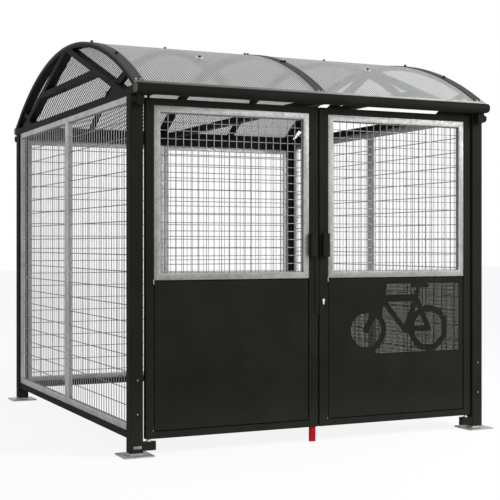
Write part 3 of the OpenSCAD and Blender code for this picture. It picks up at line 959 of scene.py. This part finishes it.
# %% Bare plate
plate_thickness = 0.0012
plate_left, plate_right = 0.018, 0.070
plate_low, plate_high = 0.043, 0.060
plate_rivet_left, plate_rivet_step = 0.0225, 0.043
post_low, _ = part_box("post_front_left")
plate = block("bare_plate", (post_low.x + plate_left, post_low.y - plate_thickness, plate_low),
              (post_low.x + plate_right, post_low.y, plate_high), ease=0.0005)
finish_piece(plate, dull_and_shaded_zinc, "post_front_left")
small_rivet = copy_at(rivet, Matrix.Scale(0.45, 4))
rivet_y = post_low.y - 0.001
rivet_z = (plate_low + plate_high) / 2
plate_rivets = [((post_low.x + plate_rivet_left + i * plate_rivet_step, rivet_y, rivet_z),
                 (0, -1, 0)) for i in (0, 1)]
set_out("plate_rivets", small_rivet, plate_rivets, "post_front_left")

# %% [markdown]
# Every foot has a weld running round the stub where it meets the plate: a low block whose top face
# is drawn in, so that its sides slope like a fillet weld. The stub hides the block's middle.

# %% Foot welds
stub_half = 0.0365
weld_leg = 0.006
weld_sunk, weld_rise = 0.001, 0.005
weld_taper = 0.86
foot_plate_top = 0.008
for foot in [n for n in nodes if n.startswith("foot_")]:
    low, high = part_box(foot)
    middle = (low + high) / 2
    reach = stub_half + weld_leg
    weld = block("weld_" + foot,
                 (middle.x - reach, middle.y - reach, foot_plate_top - weld_sunk),
                 (middle.x + reach, middle.y + reach, foot_plate_top + weld_rise), ease=0.001)
    in_edit_mode(weld)
    pick_faces(weld, lambda face_middle, normal: normal.z > 0.9)
    bpy.ops.transform.resize(value=(weld_taper, weld_taper, 1))
    bpy.ops.object.mode_set(mode="OBJECT")
    finish_piece(weld, zinc, foot)
    print(weld.name, "about", round(middle.x, 3), round(middle.y, 3))

# %% [markdown]
# ## Pivots
# Each leaf stands on a bright bush around its lower pin, which keeps the leaf off the arm. It
# starts as a short cylinder; its top face is inset and drawn up into a collar.

# %% Pivot bushes
bush_radius, bush_height = 0.016, 0.006
bush_below_leaf = 0.0132
collar_inset, collar_height = 0.004, 0.0085
hinge_places = {joint["name"]: joint["pos_m"] for joint in frame["record"]["behaviour"]["joints"]
                if joint["type"] == "hinge"}
for name in ("left", "right"):
    pivot_x, pivot_y, _ = hinge_places[name + "_door_hinge"]
    bush_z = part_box("door_" + name)[0].z - bush_below_leaf
    select_none()
    bpy.ops.mesh.primitive_cylinder_add(vertices=24, radius=bush_radius, depth=bush_height,
                                        location=(pivot_x, pivot_y, bush_z))
    bush = bpy.context.object
    bush.name = "pivot_bush_" + name
    settle(bush)
    in_edit_mode(bush)
    pick_faces(bush, lambda middle, normal: normal.z > 0.9)
    bpy.ops.mesh.inset(thickness=collar_inset)
    bpy.ops.mesh.extrude_region_move(TRANSFORM_OT_translate={"value": (0, 0, collar_height)})
    bpy.ops.object.mode_set(mode="OBJECT")
    ease_edges(bush, 0.0008)
    finish_piece(bush, bright_steel, "pivot_low_" + name)
    print(bush.name, "at", round(pivot_x, 3), round(pivot_y, 3))

# %% [markdown]
# ## Perforated door sheet
# The right door's lower sheet is one folded tray of thin steel. A field of small holes covers part
# of it, and a plain bicycle stands in the field where the holes are left out. The bicycle is two
# rings and a few straight bars, so a spot's distance from each says whether it gets a hole.

# %% The bicycle, as wheels and straight bars
sheet_low, sheet_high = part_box("sheet_right")
hole_pitch = 0.009
hole_size = 0.0034
field_right = sheet_high.x - 0.034
field_low = sheet_low.z + 0.398
field_high = sheet_high.z - 0.046
field_left_high = sheet_low.x + 0.440
field_left_low = sheet_low.x + 0.346
wheel_outer = 0.151
wheel_ring = 0.040
bar_width = 0.037
fork_width = bar_width * 1.2
stem_width = bar_width * 0.8
saddle_width = 0.026
saddle_nose, saddle_tail = 0.052, 0.066
wheel_z = field_low + 0.158
front_hub = (sheet_low.x + 0.280, wheel_z)
rear_hub = (sheet_low.x + 0.758, wheel_z)
crank = (sheet_low.x + 0.576, wheel_z - 0.008)
head = (sheet_low.x + 0.398, field_high - 0.092)
seat = (sheet_low.x + 0.664, field_high - 0.092)
saddle = (sheet_low.x + 0.680, field_high - 0.014)
bars = [
    (head, seat, bar_width), (head, crank, bar_width), (seat, crank, bar_width),
    (seat, rear_hub, bar_width), (crank, rear_hub, bar_width), (head, front_hub, fork_width),
    (seat, saddle, stem_width),
    ((saddle[0] - saddle_nose, saddle[1]), (saddle[0] + saddle_tail, saddle[1]), saddle_width),
]
print("bicycle of", len(bars), "bars, wheels", round(rear_hub[0] - front_hub[0], 3), "apart")


def off_line(x, z, start, end):
    """How far a spot is from a straight line between two points."""
    run = (end[0] - start[0], end[1] - start[1])
    along = ((x - start[0]) * run[0] + (z - start[1]) * run[1]) / (run[0] ** 2 + run[1] ** 2)
    along = max(0, min(1, along))
    return math.hypot(x - start[0] - run[0] * along, z - start[1] - run[1] * along)


def has_hole(x, z):
    """Whether a spot lies in the field or the front wheel, and clear of the bicycle."""
    from_front = math.hypot(x - front_hub[0], z - front_hub[1])
    from_rear = math.hypot(x - rear_hub[0], z - rear_hub[1])
    up = (z - field_low) / (field_high - field_low)
    left = field_left_low + (field_left_high - field_left_low) * up
    in_field = left < x < field_right and field_low < z < field_high
    if not (in_field or from_front < wheel_outer - wheel_ring):
        return False
    for distance in (from_front, from_rear):
        if wheel_outer - wheel_ring < distance < wheel_outer:
            return False
    return all(off_line(x, z, start, end) > width / 2 for start, end, width in bars)


# %% [markdown]
# The tray starts as a grid of square tiles, one for each possible hole. A tile that gets a hole is
# inset on its own and the four corners of the inset are cut back, which makes an eight-sided hole:
# real openings, which let the light through, for few faces each.

# %% The sheet's holes
octagon_cut = 0.29
grid_left = front_hub[0] - wheel_outer
columns = round((field_right - grid_left) / hole_pitch)
rows = round((field_high - field_low) / hole_pitch) + 1
grid_size = (columns * hole_pitch, rows * hole_pitch)
grid_middle = (field_right - grid_size[0] / 2, sheet_low.y,
               field_low + (grid_size[1] - hole_pitch) / 2)
select_none()
bpy.ops.mesh.primitive_grid_add(x_subdivisions=columns, y_subdivisions=rows, size=1,
                                rotation=(math.radians(90), 0, 0), location=grid_middle)
tray = bpy.context.object
tray.name = "perforated_sheet"
tray.scale = (grid_size[0], grid_size[1], 1)
settle(tray)
in_edit_mode(tray)
pick_faces(tray, lambda middle, normal: has_hole(middle.x, middle.z))
bpy.ops.mesh.inset(thickness=(hole_pitch - hole_size) / 2, use_individual=True)
bpy.ops.mesh.bevel(offset=hole_size * octagon_cut, affect="VERTICES")
bpy.ops.mesh.select_mode(type="FACE")
bpy.ops.mesh.select_all(action="DESELECT")
bpy.ops.mesh.select_face_by_sides(number=8, type="EQUAL")
bpy.ops.mesh.delete(type="FACE")
bpy.ops.object.mode_set(mode="OBJECT")
print("tray with holes:", len(tray.data.polygons), "faces before folding")

# %% [markdown]
# The grid covers only the field, so its edges are drawn out to the fold lines, one side at a time.

# %% Draw the grid out to the fold lines
groove = 0.006
near = 0.0001
edge_left = grid_middle[0] - grid_size[0] / 2
edge_right = grid_middle[0] + grid_size[0] / 2
edge_low = grid_middle[2] - grid_size[1] / 2
edge_high = grid_middle[2] + grid_size[1] / 2
draws = [
    (lambda p: p.x < edge_left + near, (sheet_low.x + groove - edge_left, 0, 0)),
    (lambda p: p.x > edge_right - near, (sheet_high.x - groove - edge_right, 0, 0)),
    (lambda p: p.z < edge_low + near, (0, 0, sheet_low.z + groove - edge_low)),
    (lambda p: p.z > edge_high - near, (0, 0, sheet_high.z - groove - edge_high)),
]
for test, move in draws:
    in_edit_mode(tray)
    pick_edges(tray, lambda a, b: test(a) and test(b))
    bpy.ops.mesh.extrude_edges_move(TRANSFORM_OT_translate={"value": move})
    bpy.ops.object.mode_set(mode="OBJECT")
print("drawn out to", len(tray.data.polygons), "faces")

# %% [markdown]
# Both sheets are folded the same way. The edges go back by the tray's depth and then outwards as a
# flange that meets the leaf's bars, which leaves the dark groove round each sheet. Stretching the
# last ring of edges about the sheet's middle draws the flange out on all four sides at once.

# %% Folding a tray
flange_depth = 0.020
sheet_metal = 0.0018


def fold_tray(obj, low, high):
    """Folds a flat sheet that reaches to the fold lines, and gives it its thickness."""
    middle = (low + high) / 2
    half_x = (high.x - low.x) / 2
    half_z = (high.z - low.z) / 2

    def on_rim(p):
        return (abs(p.x - middle.x) > half_x - groove - near
                or abs(p.z - middle.z) > half_z - groove - near)

    def along_rim(a, b):
        level = abs(a.z - b.z) < near and abs(a.z - middle.z) > half_z - groove - near
        upright = abs(a.x - b.x) < near and abs(a.x - middle.x) > half_x - groove - near
        return on_rim(a) and on_rim(b) and (level or upright)

    in_edit_mode(obj)
    pick_edges(obj, along_rim)
    bpy.ops.mesh.extrude_edges_move(TRANSFORM_OT_translate={"value": (0, flange_depth, 0)})
    bpy.ops.mesh.extrude_edges_move()
    bpy.ops.transform.resize(value=(half_x / (half_x - groove), 1, half_z / (half_z - groove)),
                             center_override=(middle.x, low.y, middle.z))
    bpy.ops.object.mode_set(mode="OBJECT")
    apply_modifier(obj, "SOLIDIFY", thickness=sheet_metal, offset=-1)


# %% Fold the perforated sheet
fold_tray(tray, sheet_low, sheet_high)
finish_piece(tray, black_coat, "sheet_right")
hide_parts("sheet_right")
print(tray.name, len(tray.data.polygons), "faces")

# %% The plain sheet
low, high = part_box("sheet_left")
select_none()
bpy.ops.mesh.primitive_plane_add(size=1, rotation=(math.radians(90), 0, 0),
                                 location=((low.x + high.x) / 2, low.y, (low.z + high.z) / 2))
plain_tray = bpy.context.object
plain_tray.name = "plain_sheet"
plain_tray.scale = (high.x - low.x - 2 * groove, high.z - low.z - 2 * groove, 1)
settle(plain_tray)
fold_tray(plain_tray, low, high)
finish_piece(plain_tray, black_coat, "sheet_left")
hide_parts("sheet_left")
print(plain_tray.name, len(plain_tray.data.polygons), "faces")

# %% [markdown]
# ## Door handles
# Each leaf has a pull: a folded box with round corners and a hollow on the side towards the gap,
# where the fingers go. The hollow is the side face, inset and pushed in.

# %% Handles
pull_round = 0.006
pull_wall = 0.003
pull_hollow = 0.020
for side, name in sides:
    low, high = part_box("handle_" + name)
    pull = block("pull_" + name, low, high, ease=pull_round, segments=4)
    in_edit_mode(pull)
    pick_faces(pull, lambda middle, normal: normal.x * side < -0.98)
    bpy.ops.mesh.inset(thickness=pull_wall)
    bpy.ops.mesh.extrude_region_move(TRANSFORM_OT_translate={"value": (side * pull_hollow, 0, 0)})
    bpy.ops.object.mode_set(mode="OBJECT")
    finish_piece(pull, black_coat, "handle_" + name)
    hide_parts("handle_" + name)
    print(pull.name, len(pull.data.polygons), "faces")

# %% [markdown]
# ## Small door fittings
# A rivet holds each lower sheet at its bottom left corner, and a small zinc clip holds the window's
# foot at the same side. A clip is a little block whose lower face is drawn down and sideways, as a
# bent tab.

# %% Sheet rivets
beside_sheet, above_sheet_foot = 0.005, 0.008
small_dome = copy_at(rivet, Matrix.Scale(0.75, 4))
for name in ("left", "right"):
    low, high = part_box("sheet_" + name)
    door_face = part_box("door_" + name)[0].y
    corner = (low.x - beside_sheet, door_face, low.z + above_sheet_foot)
    set_out("sheet_rivets_" + name, small_dome, [(corner, (0, -1, 0))],
            "sheet_" + name)

# %% Window clips
clip_half = 0.0035
clip_off_window = 0.002
clip_proud, clip_sunk = 0.0025, 0.003
clip_below, clip_above = 0.018, 0.004
clip_bend = (0.003, 0, -0.006)
for name in ("left", "right"):
    low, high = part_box("window_" + name)
    door_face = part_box("door_" + name)[0].y
    x = low.x - clip_off_window
    clip = block("window_clip_" + name,
                 (x - clip_half, door_face - clip_proud, low.z - clip_below),
                 (x + clip_half, door_face + clip_sunk, low.z + clip_above), ease=0.001)
    in_edit_mode(clip)
    pick_faces(clip, lambda middle, normal: normal.z < -0.9)
    bpy.ops.mesh.extrude_region_move(TRANSFORM_OT_translate={"value": clip_bend})
    bpy.ops.object.mode_set(mode="OBJECT")
    finish_piece(clip, dull_and_shaded_zinc, "window_" + name)
    print(clip.name, len(clip.data.polygons), "faces")

# %% [markdown]
# The strip over the gap between the leaves is a narrow folded bar, so it is a block with its edges
# rounded in three steps.

# %% Gap strip
low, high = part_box("meeting_strip")
strip = block("gap_strip", low, high, ease=0.0012, segments=3)
finish_piece(strip, black_coat, "meeting_strip")
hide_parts("meeting_strip")
print(strip.name, round(high.z - low.z, 3), "m long")

# %% [markdown]
# The fixings' patterns have served, so they are removed.

# %% Remove the patterns
for pattern in (black_screw, steel_screw, rivet, broad_washer, small_rivet, small_dome):
    discard(pattern)
